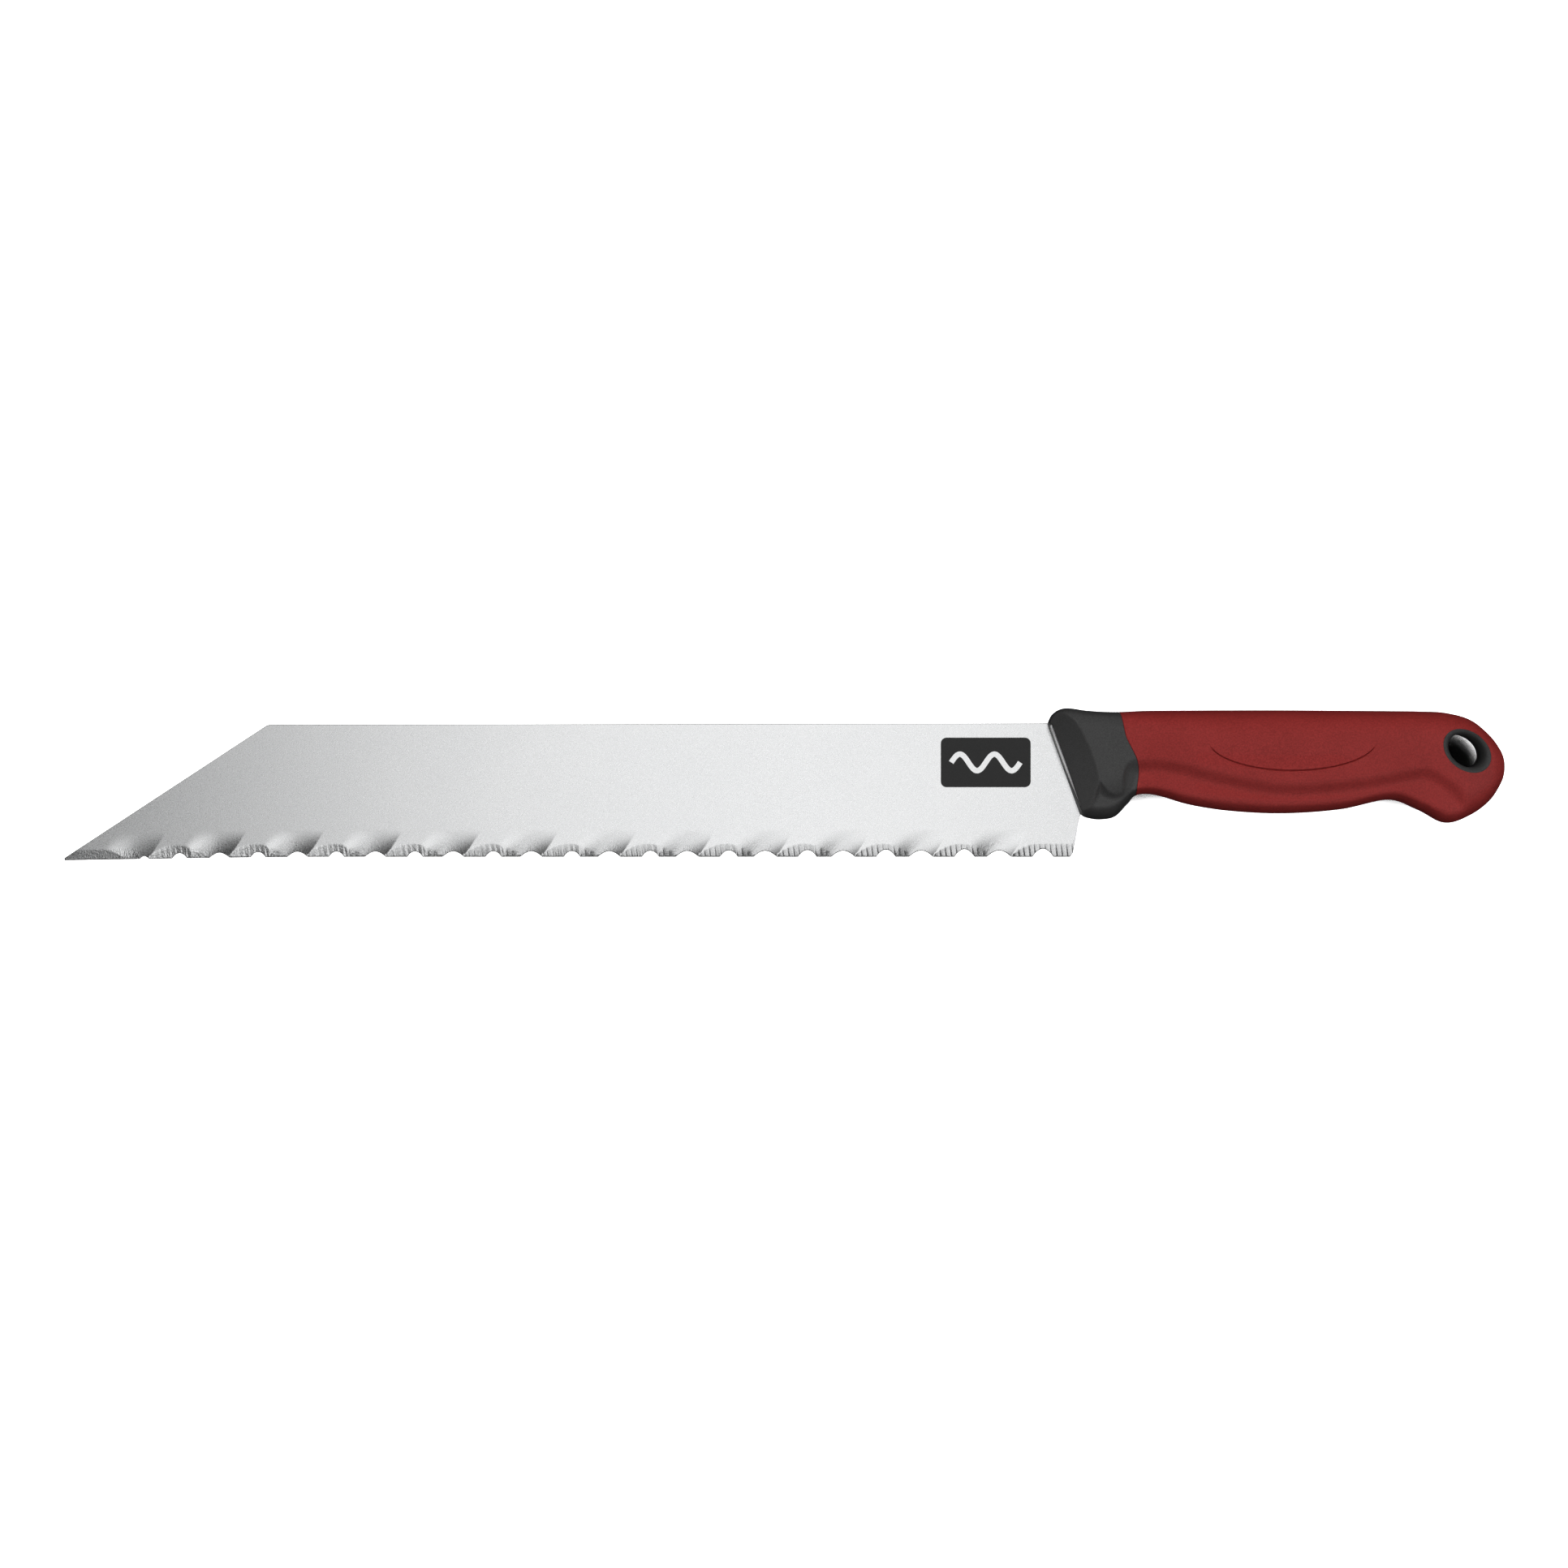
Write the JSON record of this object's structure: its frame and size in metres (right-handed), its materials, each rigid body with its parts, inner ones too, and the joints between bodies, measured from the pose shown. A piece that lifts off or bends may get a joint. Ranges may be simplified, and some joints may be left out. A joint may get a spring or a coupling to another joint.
{
  "type": "insulation knife",
  "caption": "Long insulation knife with a slanted point, a scalloped and fluted cutting edge and a two-colour moulded handle with a hanging eye.",
  "frame": {"origin": "centre of the length and height, on the surface that the handle's side lies on", "axes": "+X along the length from the blade's tip to the handle's butt, +Y from the cutting edge to the spine, +Z across the thickness, up, with the ground side of the blade upwards"},
  "size_m": [0.4004, 0.0426, 0.024],
  "materials": {
    "blade_steel": "satin, fine grain",
    "black_plastic": "matte, fine moulded texture",
    "red_elastomer": "matte, fine moulded texture"
  },
  "bodies": {
    "root": {"blade": "blade_steel", "handle_core": "black_plastic", "grip_cover": "red_elastomer"}
  },
  "joints": []
}
